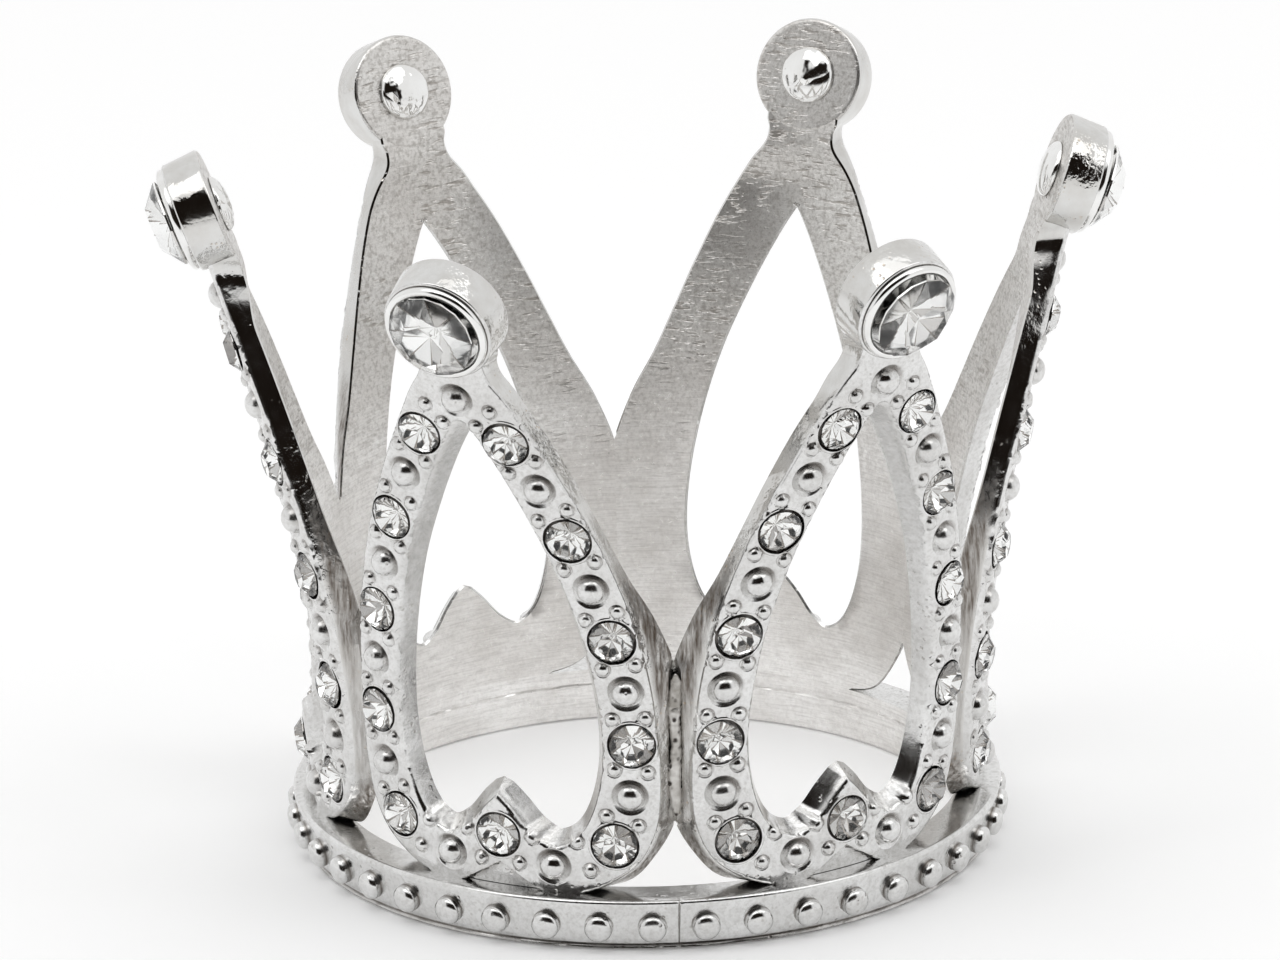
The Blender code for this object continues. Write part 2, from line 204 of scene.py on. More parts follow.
def flare(height):
    """Inner radius of the casting at this height."""
    above = np.maximum(np.asarray(height, float) - CREASE_HEIGHT, 0.0)
    return RING_INNER + FLARE_LEAN * above + FLARE_CURL * above**3


def lean_at(height):
    """Outward lean of the petals at this height, in radians."""
    above = np.maximum(np.asarray(height, float) - CREASE_HEIGHT, 0.0)
    return np.arctan(FLARE_LEAN + 3.0 * FLARE_CURL * above**2)


def on_petal(spots, out, lift=0.0):
    """Points of the petal centred on -Y: out from the back face, then lifted along the normal."""
    across, height = spots[:, 0], spots[:, 1]
    radius = flare(height) + out
    angle = across / radius
    lean = lean_at(height)
    base = np.stack((radius * np.sin(angle), -radius * np.cos(angle), height), 1)
    normal = np.stack(
        (np.cos(lean) * np.sin(angle), -np.cos(lean) * np.cos(angle), -np.sin(lean)), 1
    )
    return base + normal * np.reshape(lift, (-1, 1))


def petal_frame(across, height, out):
    """Frame on the petal surface, +Z pointing out of the face and +Y up along it."""
    origin = on_petal(np.array([[across, height]]), out)[0]
    angle = math.atan2(origin[0], -origin[1])
    lean = float(lean_at(height))
    normal = Vector(
        (math.cos(lean) * math.sin(angle), -math.cos(lean) * math.cos(angle), -math.sin(lean))
    )
    side = Vector((math.cos(angle), math.sin(angle), 0.0))
    frame = Matrix((side, normal.cross(side), normal)).transposed().to_4x4()
    frame.translation = Vector(origin)
    return frame


def turned(index):
    """Rotation that carries the pattern petal to petal number index, counted from the seam."""
    return Matrix.Rotation(PITCH * (index - 0.5), 4, "Z")


def smooth_half(points, steps):
    """Catmull-Rom curve through a half outline."""
    p = np.array([points[0], *points, points[-1]], float)
    t = np.linspace(0.0, 1.0, steps, endpoint=False)[:, None]
    runs = []
    for a, b, c, d in zip(p, p[1:], p[2:], p[3:]):
        runs.append(
            0.5
            * (
                2.0 * b
                + (c - a) * t
                + (2.0 * a - 5.0 * b + 4.0 * c - d) * t**2
                + (3.0 * b - a - 3.0 * c + d) * t**3
            )
        )
    return np.concatenate([*runs, p[-1:]])


def full_loop(half):
    """Mirrors a half outline into a loop that runs counter-clockwise."""
    other = half[-2:0:-1] * (-1.0, 1.0)
    return np.concatenate([half, other])


def offset_loop(loop, distance):
    """Moves a counter-clockwise loop outward along its own normals."""
    run = np.roll(loop, -1, 0) - np.roll(loop, 1, 0)
    run /= np.linalg.norm(run, axis=1, keepdims=True)
    return loop + distance * np.stack((run[:, 1], -run[:, 0]), 1)


def distance_to(points, loop, skip_below=None):
    """Distance of flat points to a closed loop, leaving out the edges at or below a height."""
    a = loop
    b = np.roll(loop, -1, 0)
    if skip_below is not None:
        kept = np.maximum(a[:, 1], b[:, 1]) > skip_below
        a, b = a[kept], b[kept]
    run = b - a
    best = np.full(len(points), 1e9)
    for start in range(0, len(points), 2000):
        part = points[start:start + 2000, None, :]
        t = ((part - a) * run).sum(2) / np.maximum((run**2).sum(1), 1e-12)
        nearest = a + np.clip(t, 0.0, 1.0)[..., None] * run
        best[start:start + 2000] = np.linalg.norm(part - nearest, axis=2).min(1)
    return best


def inside(points, loop):
    """Even-odd test of flat points against a closed loop."""
    x0, y0 = np.roll(loop, 1, 0).T
    x1, y1 = loop.T
    hit = np.zeros(len(points), bool)
    for start in range(0, len(points), 4000):
        x, y = points[start:start + 4000, 0, None], points[start:start + 4000, 1, None]
        crosses = (y0 > y) != (y1 > y)
        step = np.where(y1 == y0, 1.0, y1 - y0)
        left = x < x0 + (y - y0) * (x1 - x0) / step
        hit[start:start + 4000] = (crosses & left).sum(1) % 2 == 1
    return hit


def mirrored(spots):
    return [(s * u, v) for u, v in spots for s in (-1.0, 1.0)]


def smoothstep(low, high, value):
    t = np.clip((value - low) / (high - low), 0.0, 1.0)
    return t * t * (3.0 - 2.0 * t)


# ---- Mesh helpers


def mesh_from(name, points, faces, looks, face_looks=None, recess=None, sharp=None):
    """Mesh in metres from points in mm. face_looks picks a material for each face, recess is a mask of dirt
    and painted shade.
    """
    mesh = bpy.data.meshes.new(name)
    mesh.from_pydata((np.asarray(points, float) * MM).tolist(), [], [tuple(map(int, f)) for f in faces])
    for look in looks:
        mesh.materials.append(look)
    if face_looks is not None:
        mesh.polygons.foreach_set("material_index", np.asarray(face_looks, np.int32))
    if recess is not None:
        layer = mesh.attributes.new("recess", "FLOAT", "POINT")
        layer.data.foreach_set("value", np.asarray(recess, np.float32))
    if sharp is not None:
        mesh.shade_smooth()
        mesh.set_sharp_from_angle(angle=math.radians(sharp))
    mesh.update()
    return mesh


def piece(name, mesh, matrix, slot, *replaced):
    """Shows a mesh at a rigid matrix in mm, riding on the frame."""
    obj = bpy.data.objects.new(name, mesh)
    bpy.context.scene.collection.objects.link(obj)
    obj.matrix_world = Matrix.Translation(matrix.translation * MM) @ matrix.to_3x3().to_4x4()
    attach(obj, "root")
    if replaced:
        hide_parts(*replaced)
    return obj


def turned_mesh(profile, sides):
    """Closed solid of revolution about Z through (radius, height) points, with each face's profile index."""
    points, faces, bands, rings = [], [], [], []
    for radius, height in profile:
        if radius <= 1e-6:
            rings.append([len(points)])
            points.append((0.0, 0.0, height))
            continue
        first = len(points)
        for k in range(sides):
            angle = 2.0 * math.pi * k / sides
            points.append((radius * math.cos(angle), radius * math.sin(angle), height))
        rings.append(list(range(first, first + sides)))
    for band, (low, high) in enumerate(zip(rings, rings[1:])):
        for k in range(sides):
            n = (k + 1) % sides
            if len(low) == 1:
                faces.append((low[0], high[n], high[k]))
            elif len(high) == 1:
                faces.append((low[k], low[n], high[0]))
            else:
                faces.append((low[k], low[n], high[n], high[k]))
            bands.append(band)
    return np.array(points), faces, bands


def arc(centre, radius, start, end, steps):
    """Points of a circular arc in a (radius, height) profile, angles in degrees."""
    angles = np.radians(np.linspace(start, end, steps))
    return [(centre[0] + radius * math.cos(a), centre[1] + radius * math.sin(a)) for a in angles]


def moved(points, frame):
    turn = np.array(frame.to_3x3())
    return np.asarray(points, float) @ turn.T + np.array(frame.translation)


class Bag:
    """Points and faces of one mesh, gathered from several bodies."""

    def __init__(self):
        self.points, self.faces, self.looks, self.recess = [], [], [], []
        self.count = 0

    def add(self, points, faces, look, recess=0.0):
        looks = [look] * len(faces) if isinstance(look, int) else list(look)
        self.faces.extend(tuple(self.count + i for i in f) for f in faces)
        self.points.append(np.asarray(points, float))
        self.looks.extend(looks)
        self.recess.append(np.broadcast_to(recess, (len(points),)))
        self.count += len(points)

    def mesh(self, name, looks, sharp):
        return mesh_from(name, np.concatenate(self.points), self.faces, looks, self.looks,
                         np.concatenate(self.recess), sharp)


# ---- Materials


def node(tree, kind, inputs=None, **settings):
    made = tree.nodes.new(kind)
    for name, value in settings.items():
        setattr(made, name, value)
    for name, value in (inputs or {}).items():
        if isinstance(value, bpy.types.NodeSocket):
            tree.links.new(value, made.inputs[name])
        else:
            made.inputs[name].default_value = value
    return made


def math_node(tree, operation, a, b=0.0, clamp=False):
    made = node(tree, "ShaderNodeMath", {0: a, 1: b}, operation=operation)
    made.use_clamp = clamp
    return made.outputs[0]


def blend_color(tree, factor, a, b):
    made = node(tree, "ShaderNodeMix", {0: factor, 6: a, 7: b}, data_type="RGBA")
    return made.outputs[2]


def spread(tree, value, low, high, to_low, to_high):
    """Maps a value's range low..high onto to_low..to_high, clamped."""
    made = node(tree, "ShaderNodeMapRange",
                {"Value": value, "From Min": low, "From Max": high, "To Min": to_low, "To Max": to_high})
    return made.outputs["Result"]


class Surface:
    """A Principled material with noise helpers in object space, different on every object."""

    def __init__(self, name):
        self.material = bpy.data.materials.new(name)
        self.material.use_nodes = True
        self.tree = self.material.node_tree
        self.shader = self.tree.nodes["Principled BSDF"]
        self.place = node(self.tree, "ShaderNodeTexCoord").outputs["Object"]
        chance = node(self.tree, "ShaderNodeObjectInfo").outputs["Random"]
        self.seed = math_node(self.tree, "MULTIPLY", chance, 37.0)

    def set(self, **values):
        for name, value in values.items():
            socket = self.shader.inputs[name.replace("_", " ")]
            if isinstance(value, bpy.types.NodeSocket):
                self.tree.links.new(value, socket)
            else:
                socket.default_value = value

    def noise(self, per_mm, detail=3.0, rough=0.5, stretch=(1.0, 1.0, 1.0)):
        """Noise with about per_mm cells to the millimetre, denser along an axis whose stretch is above 1."""
        scaled = node(self.tree, "ShaderNodeMapping",
                      {"Vector": self.place, "Scale": [PER_MM * per_mm * s for s in stretch]})
        made = node(self.tree, "ShaderNodeTexNoise",
                    {"Vector": scaled.outputs[0], "W": self.seed, "Scale": 1.0, "Detail": detail,
                     "Roughness": rough}, noise_dimensions="4D")
        return made.outputs["Fac"]

    def attribute(self, name):
        return node(self.tree, "ShaderNodeAttribute", attribute_name=name).outputs["Fac"]

    def bump(self, layers):
        """Stacks (height, millimetres) layers into one normal."""
        normal = None
        for height, size in layers:
            inputs = {"Height": height, "Distance": size * MM, "Strength": 1.0}
            if normal is not None:
                inputs["Normal"] = normal
            normal = node(self.tree, "ShaderNodeBump", inputs).outputs[0]
        self.set(Normal=normal)

    def pits(self, per_mm, share):
        """Small round pits, 1 in the pit and 0 outside, in patches that cover about that share."""
        scaled = node(self.tree, "ShaderNodeMapping", {"Vector": self.place, "Scale": [PER_MM * per_mm] * 3})
        cells = node(self.tree, "ShaderNodeTexVoronoi", {"Vector": scaled.outputs[0], "Scale": 1.0})
        hole = spread(self.tree, cells.outputs["Distance"], 0.12, 0.30, 1.0, 0.0)
        patch = spread(self.tree, self.noise(0.35, 2.0), 0.62 - share, 0.72 - share, 0.0, 1.0)
        return math_node(self.tree, "MULTIPLY", hole, patch)


def cast_silver():
    """Plated casting: satin bright, mottled, and darkened in its recesses by dirt and painted shade."""
    look = Surface("cast_silver")
    tree = look.tree
    mottle = spread(tree, look.noise(0.30, 4.0, 0.6), 0.35, 0.70, 0.0, 1.0)
    tone = blend_color(tree, mottle, (0.80, 0.80, 0.795, 1.0), (0.67, 0.665, 0.655, 1.0))
    grain = look.noise(3.4, 4.0, 0.7)
    tone = blend_color(tree, spread(tree, grain, 0.44, 0.64, 0.0, 0.45), tone, (0.46, 0.45, 0.43, 1.0))
    pits = look.pits(2.2, 0.10)
    tone = blend_color(tree, math_node(tree, "MULTIPLY", pits, 0.35), tone, (0.30, 0.27, 0.24, 1.0))
    patchy = spread(tree, look.noise(0.9), 0.3, 0.7, 0.65, 1.0)
    # The recess mask darkens the colour with dirt and painted shade, broken up in patches, and also roughens
    # it.
    grime_and_shade = math_node(tree, "MULTIPLY", look.attribute("recess"), patchy)
    tone = blend_color(tree, grime_and_shade, tone, (0.11, 0.085, 0.065, 1.0))
    fine = look.noise(5.0, 3.0, 0.6)
    rough = spread(tree, look.noise(0.8, 4.0), 0.3, 0.7, 0.10, 0.24)
    rough = math_node(tree, "ADD", rough, math_node(tree, "MULTIPLY", grime_and_shade, 0.25))
    look.set(Base_Color=tone, Metallic=1.0, Roughness=rough)
    look.bump([(look.noise(0.55, 2.0), 0.026), (grain, 0.008), (fine, 0.003), (pits, -0.02)])
    return look.material


def brushed_silver():
    """Inner faces, rubbed flat: warm, grainy and finely scratched across, painted darker towards the tips as
    painted shade, and more rubbed and worn there.
    """
    look = Surface("brushed_silver")
    tree = look.tree
    streaks = look.noise(1.0, 4.0, 0.65, (0.5, 0.5, 9.0))
    slant = look.noise(1.0, 3.0, 0.6, (6.0, 1.5, 2.0))
    grain = look.noise(3.8, 5.0, 0.75)
    cloud = look.noise(0.16, 4.0, 0.6)
    height = node(tree, "ShaderNodeSeparateXYZ", {0: look.place}).outputs["Z"]
    upper = spread(tree, height, 0.016, 0.028, 0.0, 1.0)
    # Painted shade: the base tone falls from bright near the ring to darker towards the tips.
    tone = blend_color(tree, upper, (1.0, 0.99, 0.975, 1.0), (0.78, 0.77, 0.75, 1.0))
    tone = blend_color(tree, spread(tree, cloud, 0.40, 0.66, 0.0, 0.55), tone, (0.66, 0.63, 0.60, 1.0))
    tone = blend_color(tree, spread(tree, streaks, 0.45, 0.65, 0.0, 0.34), tone, (0.48, 0.46, 0.44, 1.0))
    rubbed = spread(tree, grain, 0.46, 0.62, 0.0, 0.72)
    rubbed = math_node(tree, "MULTIPLY", rubbed, spread(tree, upper, 0.0, 1.0, 0.25, 1.0))
    tone = blend_color(tree, rubbed, tone, (0.36, 0.34, 0.315, 1.0))
    worn = spread(tree, look.noise(0.20, 2.0), 0.42, 0.56, 0.0, 1.0)
    worn = math_node(tree, "MULTIPLY", worn, spread(tree, upper, 0.0, 1.0, 0.08, 1.0))
    gouges = spread(tree, look.noise(1.0, 2.0, 0.5, (0.9, 0.9, 4.2)), 0.54, 0.64, 0.0, 1.0)
    gouges = math_node(tree, "MULTIPLY", gouges, worn)
    tone = blend_color(tree, math_node(tree, "MULTIPLY", gouges, 0.6), tone, (0.30, 0.27, 0.24, 1.0))
    rough = spread(tree, grain, 0.3, 0.7, 0.24, 0.40)
    look.set(Base_Color=tone, Metallic=1.0, Roughness=rough)
    waves = look.noise(0.5, 2.0)
    look.bump([(streaks, 0.004), (slant, 0.004), (gouges, -0.05), (grain, 0.014), (waves, 0.02)])
    return look.material


def wall_silver():
    """Sides of the plate, left smooth by the mould and plated to a mirror, with fine drag lines."""
    look = Surface("wall_silver")
    tree = look.tree
    mottle = spread(tree, look.noise(0.45, 4.0, 0.6), 0.35, 0.70, 0.0, 1.0)
    tone = blend_color(tree, mottle, (0.72, 0.72, 0.71, 1.0), (0.60, 0.585, 0.56, 1.0))
    streaks = look.noise(1.0, 4.0, 0.65, (4.0, 4.0, 0.5))
    # The recess mask darkens and roughens the wall: painted shade in the valley where neighbouring petals
    # meet, over a faint streaky darkening everywhere.
    dull = math_node(tree, "MULTIPLY", look.attribute("recess"), spread(tree, streaks, 0.35, 0.65, 0.35, 1.0))
    tone = blend_color(tree, dull, tone, (0.13, 0.105, 0.085, 1.0))
    drag = look.noise(1.0, 3.0, 0.6, (5.0, 5.0, 0.8))
    pits = look.pits(2.6, 0.08)
    tone = blend_color(tree, math_node(tree, "MULTIPLY", pits, 0.5), tone, (0.45, 0.34, 0.22, 1.0))
    lumpy = spread(tree, look.noise(0.13, 2.0), 0.50, 0.60, 0.0, 1.0)
    lumps = math_node(tree, "MULTIPLY", look.noise(1.3, 3.0, 0.55), lumpy)
    rough = spread(tree, look.noise(1.2, 4.0), 0.3, 0.75, 0.03, 0.16)
    rough = math_node(tree, "ADD", rough, math_node(tree, "MULTIPLY", dull, 0.45))
    look.set(Base_Color=tone, Metallic=1.0, Roughness=rough)
    waves, fine = look.noise(0.5, 2.0), look.noise(2.4, 3.0)
    look.bump([(waves, 0.022), (lumps, 0.16), (fine, 0.014), (drag, 0.003), (pits, -0.02)])
    return look.material


def polished_silver():
    """Turned settings and rivet heads: bright, nearly a mirror, faint turning marks."""
    look = Surface("polished_silver")
    tree = look.tree
    mottle = spread(tree, look.noise(0.6, 3.0), 0.35, 0.65, 0.0, 1.0)
    tone = blend_color(tree, mottle, (0.88, 0.88, 0.87, 1.0), (0.80, 0.795, 0.78, 1.0))
    rough = spread(tree, look.noise(1.5, 3.0), 0.3, 0.7, 0.05, 0.13)
    along = node(tree, "ShaderNodeSeparateXYZ", {0: look.place}).outputs["Z"]
    head = spread(tree, along, (BOSS_BACK - 0.1) * MM, (BOSS_BACK + 0.1) * MM, 1.0, 0.0)
    hammered = spread(tree, look.noise(0.40, 1.0), 0.44, 0.54, 0.0, 1.0)
    hammered = math_node(tree, "MULTIPLY", head, hammered)
    lumps = math_node(tree, "MULTIPLY", look.noise(1.0, 2.0, 0.4), hammered)
    look.set(Base_Color=tone, Metallic=1.0, Roughness=rough)
    look.bump([(look.noise(0.7, 2.0), 0.012), (lumps, 0.20), (look.noise(6.0, 2.0), 0.0012)])
    return look.material


def solder_tin():
    """Solder: dull, lumpy and pitted."""
    look = Surface("solder_tin")
    tree = look.tree
    cloud = spread(tree, look.noise(0.8, 4.0, 0.65), 0.35, 0.65, 0.0, 1.0)
    pits = look.pits(1.6, 0.35)
    tone = blend_color(tree, cloud, (0.66, 0.645, 0.62, 1.0), (0.36, 0.34, 0.31, 1.0))
    tone = blend_color(tree, pits, tone, (0.06, 0.05, 0.045, 1.0))
    look.set(Base_Color=tone, Metallic=1.0, Roughness=spread(tree, cloud, 0.0, 1.0, 0.28, 0.48))
    look.bump([(look.noise(1.8, 3.0), 0.05), (pits, -0.06)])
    return look.material


def crystal_glass():
    """Clear lead glass with a trace of surface haze."""
    look = Surface("crystal_glass")
    tree = look.tree
    haze = spread(tree, look.noise(0.8, 3.0), 0.4, 0.75, 0.0, 0.03)
    tint = blend_color(tree, look.noise(0.4, 2.0), (0.985, 0.99, 0.995, 1.0), (0.965, 0.97, 0.97, 1.0))
    look.set(Base_Color=tint, Roughness=haze, Transmission_Weight=1.0, IOR=1.58)
    return look.material


def crystal_foil(name, dark, rough):
    """Mirror foil on the back facets of a chaton, each facet a little different: facets picked at random are
    painted dark, as painted reflection.
    """
    look = Surface(name)
    tree = look.tree
    facet = node(tree, "ShaderNodeNewGeometry").outputs["Normal"]
    shift = node(tree, "ShaderNodeVectorMath", {0: facet, 1: (3.1, 3.1, 3.1)}, operation="MULTIPLY")
    made = node(tree, "ShaderNodeTexNoise",
                {"Vector": shift.outputs[0], "W": look.seed, "Scale": 1.0, "Detail": 1.0},
                noise_dimensions="4D")
    chance = made.outputs["Fac"]
    # Painted reflection: picked by its normal, each facet is painted bright or dark at random.
    tone = blend_color(tree, spread(tree, chance, 0.53, 0.64, 0.0, 1.0),
                       (0.97, 0.97, 0.96, 1.0), (dark, 0.96 * dark, 0.92 * dark, 1.0))
    haze = spread(tree, look.noise(2.0), 0.3, 0.7, rough, rough + 0.07)
    look.set(Base_Color=tone, Metallic=1.0, Roughness=haze)
    return look.material


def foil_seam():
    """Dark edges where the foil of two facets meets."""
    look = Surface("foil_seam")
    tree = look.tree
    tone = blend_color(tree, look.noise(1.5, 3.0), (0.24, 0.21, 0.18, 1.0), (0.46, 0.43, 0.40, 1.0))
    look.set(Base_Color=tone, Metallic=1.0, Roughness=spread(tree, look.noise(2.5), 0.3, 0.7, 0.15, 0.35))
    return look.material


def floor_white():
    look = Surface("floor_white")
    tree = look.tree
    tone = blend_color(tree, look.noise(0.0005, 2.0), (0.90, 0.90, 0.90, 1.0), (0.88, 0.88, 0.88, 1.0))
    look.set(Base_Color=tone, Roughness=0.9, Specular_IOR_Level=0.0,
             Emission_Color=(1.0, 1.0, 1.0, 1.0), Emission_Strength=0.16)
    return look.material


# ---- Relief of a petal


def limb_path():
    """Stones and beads of the right limb in order, from the top bead round to the cusp stone."""
    path = [TOP_BEAD]
    for seat, bead in zip(STONE_SEATS, LIMB_BEADS):
        path += [seat, bead]
    return [*path, CUSP_SEAT]


def granule_spots():
    """A pair of granules at every gap of the limb, one on each side of the path."""
    spots = []
    path = limb_path()
    for a, b in zip(path, path[1:]):
        run = Vector(b) - Vector(a)
        middle = Vector(a) + run / 2.0
        side = Vector((run.y, -run.x)).normalized() * GRANULE_OFFSET
        inward = APEX_SQUEEZE if a == TOP_BEAD else 1.0
        for spot in (middle + side * inward, middle - side):
            spots += [(spot.x, spot.y), (-spot.x, spot.y)]
    return spots


def reach(spots, centre):
    """Distance along the surface from flat spots to a feature's centre."""
    du = spots[:, 0] - centre[0]
    dv = (spots[:, 1] - centre[1]) / math.cos(float(lean_at(centre[1])))
    return np.hypot(du, dv)


def dome(r, radius, rise):
    share = np.clip(1.0 - (r / radius) ** 2.2, 0.0, 1.0)
    return rise * share**0.62


def collar(r, radius, width, depth):
    """Dish pressed round a bead: steep at the bead, running out to a faint raised ring."""
    t = np.clip((r - radius) / width, 0.0, 1.0)
    dish = -depth * np.minimum(t / 0.18, 1.0) * (1.0 - smoothstep(0.15, 0.92, t))
    ring = 0.16 * depth * np.exp(-((r - radius - 0.98 * width) / (0.14 * width)) ** 2)
    return dish + ring


def relief(spots, edge_distance):
    """Lift of the front face over its plate, and the mask of dirt and painted shade, at flat spots."""
    s = np.clip(edge_distance / EDGE_ROUND, 0.0, 1.0)
    lift = -EDGE_ROUND * (1.0 - np.sqrt(1.0 - (1.0 - s) ** 2))
    grime_and_shade = np.zeros(len(spots))

    u, v = np.abs(spots[:, 0]), spots[:, 1]
    slope = (NOTCH_APEX[1] - OUTLINE[0][1]) / NOTCH_HALF
    into = (NOTCH_APEX[1] - slope * u - v) * math.cos(math.atan(slope))
    notch = smoothstep(0.0, 0.16, into)
    lift = lift - NOTCH_DEPTH * notch
    # Painted shade: a dark line along the edge of the notch under the cusp.
    grime_and_shade = np.maximum(grime_and_shade, 0.55 * np.exp(-((into - 0.10) / 0.09) ** 2))

    top = np.zeros(len(spots))
    for radius, rise, width, depth, centres, shade_and_stain in (
        (GRANULE_RADIUS, GRANULE_RISE, GRANULE_COLLAR, GRANULE_COLLAR_DEPTH, granule_spots(), 0.80),
        (BEAD_RADIUS, BEAD_RISE, COLLAR, COLLAR_DEPTH, mirrored(LIMB_BEADS) + [TOP_BEAD], 0.70),
    ):
        for centre in centres:
            r = reach(spots, centre)
            top = np.maximum(top, dome(r, radius, rise))
            lift = lift + collar(r, radius, width, depth)
            # Dirt and painted shade: a dark ring in each collar, painted much darker on its upper side as
            # shade.
            ring = np.exp(-((r - radius - 0.30 * width) / (0.45 * width)) ** 2)
            aside = (spots - np.array(centre)) / np.maximum(r, 1e-6)[:, None]
            above = smoothstep(-0.3, 0.9, 0.35 * aside[:, 0] + 0.94 * aside[:, 1])
            grime_and_shade = np.maximum(grime_and_shade, shade_and_stain * ring * (0.10 + 0.90 * above))
    lift = np.where(top > 0.0, top + 0.3 * np.minimum(lift, 0.0), lift)

    for centre in mirrored(STONE_SEATS) + [CUSP_SEAT]:
        r = reach(spots, centre)
        rim = 0.06 * np.sin(math.pi * np.clip((r - SEAT_RADIUS) / SEAT_RIM, 0.0, 1.0))
        lift = lift + rim
        lift = np.where(r < SEAT_RADIUS + 0.015, np.minimum(lift, -0.10), lift)
        lift = np.where(r < SEAT_RADIUS - 0.015, -SEAT_DEPTH, lift)
        # Painted shade: the seat under the stone and the inner edge of its rim are darkened.
        grime_and_shade = np.maximum(grime_and_shade, np.where(r < SEAT_RADIUS + 0.03, 0.85, 0.0))
    return lift, grime_and_shade


def rings_about(centre, radii, sides):
    """Flat sample points in rings about a feature."""
    squeeze = math.cos(float(lean_at(centre[1])))
    spots = [(centre[0], centre[1])]
    for r in radii:
        for k in range(sides):
            angle = 2.0 * math.pi * k / sides
            spots.append((centre[0] + r * math.cos(angle), centre[1] + r * math.sin(angle) * squeeze))
    return spots


def sample_points(outer, hole):
    """Where the front face is sampled: rings round every feature, loops along the edges and a loose fill."""
    seat_rings = [0.9, SEAT_RADIUS - 0.03, *[SEAT_RADIUS + SEAT_RIM * t for t in (0.0, 0.2, 0.4, 0.7, 1.0)]]
    bead_rings = [BEAD_RADIUS * math.sin(math.radians(a)) for a in (17, 34, 50, 64, 77)]
    bead_rings += [BEAD_RADIUS + COLLAR * t for t in (0.0, 0.18, 0.36, 0.55, 0.75, 0.9, 1.0, 1.15)]
    granule_rings = [GRANULE_RADIUS * math.sin(math.radians(a)) for a in (30, 55, 76)]
    granule_rings += [GRANULE_RADIUS, GRANULE_RADIUS + 0.5 * GRANULE_COLLAR, GRANULE_RADIUS + GRANULE_COLLAR]
    features = (
        (mirrored(STONE_SEATS) + [CUSP_SEAT], seat_rings, 36),
        (mirrored(LIMB_BEADS) + [TOP_BEAD], bead_rings, 36),
        (granule_spots(), granule_rings, 16),
    )

    chosen = []
    taken = []
    for centres, radii, sides in features:
        for centre in centres:
            spots = np.array(rings_about(centre, radii, sides))
            for other, size in taken:
                spots = spots[reach(spots, other) > size + 0.04]
            chosen.append(spots)
        taken += [(centre, radii[-1]) for centre in centres]

    loose = []
    for share in (0.5, 0.87, 1.0):
        inset = EDGE_ROUND * (1.0 - math.sqrt(1.0 - share**2))
        for loop, sign in ((outer, -1.0), (hole, 1.0)):
            shifted = offset_loop(loop, sign * inset)
            near = distance_to(shifted, loop)
            loose.append(shifted[near > 0.9 * inset])
    steps = np.linspace(0.0, 1.0, 12)
    for sign in (-1.0, 1.0):
        for shift in (-0.03, 0.05, 0.16):
            apex = np.array((NOTCH_APEX[0], NOTCH_APEX[1] - shift))
            foot = np.array((sign * NOTCH_HALF, OUTLINE[0][1] - shift))
            loose.append(apex + (foot - apex) * steps[:, None])
    low, high = outer.min(0), outer.max(0)
    rows = np.arange(low[1], high[1], FILL_SPACING * 0.87)
    for i, v in enumerate(rows):
        us = np.arange(low[0] + FILL_SPACING * 0.5 * (i % 2), high[0], FILL_SPACING)
        loose.append(np.stack((us, np.full(len(us), v)), 1))
    loose = np.concatenate(loose)
    for centre, size in taken:
        loose = loose[reach(loose, centre) > size + 0.05]
    points = np.concatenate([*chosen, loose])
    points = points[inside(points, outer) & ~inside(points, hole)]
    clear = np.minimum(distance_to(points, outer), distance_to(points, hole)) > 0.03
    return thinned(points[clear], 0.035)


def thinned(points, spacing):
    """Drops points that fall in the same small cell as an earlier one."""
    cells = np.round(points / spacing).astype(int)
    _, first = np.unique(cells, axis=0, return_index=True)
    return points[np.sort(first)]


def triangles(outer, hole, middle):
    """Triangles of the band between an outline and its opening, through the middle points."""
    flat = np.concatenate([outer, hole, middle])
    n, m = len(outer), len(hole)
    edges = [(i, (i + 1) % n) for i in range(n)]
    edges += [(n + i, n + (i + 1) % m) for i in range(m)]
    made, _, faces, *_ = delaunay_2d_cdt([Vector(p) for p in flat], edges, [], 0, 1e-7)
    made = np.array([tuple(p) for p in made])
    faces = np.array([tuple(f) for f in faces])
    centres = made[faces].mean(1)
    kept = inside(centres, outer) & ~inside(centres, hole)
    return made, faces[kept]


def within_sector(loop):
    """Clips a loop of the back face to its sixth of the crown; also says how far each point was outside."""
    limit = flare(loop[:, 1]) * PITCH / 2.0
    over = np.abs(loop[:, 0]) - limit
    clipped = loop.copy()
    clipped[:, 0] = np.clip(loop[:, 0], -limit, limit)
    return clipped, over


def back_face(height):
    """How far out the back face lies: it swells inward over the rim of the boss, then dips into it."""
    swell = (BOSS_BACK - 0.015) * smoothstep(BLEND_LOW, BLEND_HIGH, height)
    return swell + DIP * smoothstep(DIP_LOW, DIP_HIGH, height)


def back_fill(outer, hole):
    """Grid of points for the back face, clear of both its edges."""
    low, high = outer.min(0), outer.max(0)
    columns = np.arange(low[0], high[0], BACK_FILL[0])
    rows = np.arange(low[1] + BACK_FILL[1], high[1], BACK_FILL[1])
    fill = np.stack(np.meshgrid(columns, rows), -1).reshape(-1, 2)
    keep = inside(fill, outer) & ~inside(fill, hole)
    keep &= np.minimum(distance_to(fill, outer), distance_to(fill, hole)) > 0.35
    return fill[keep]


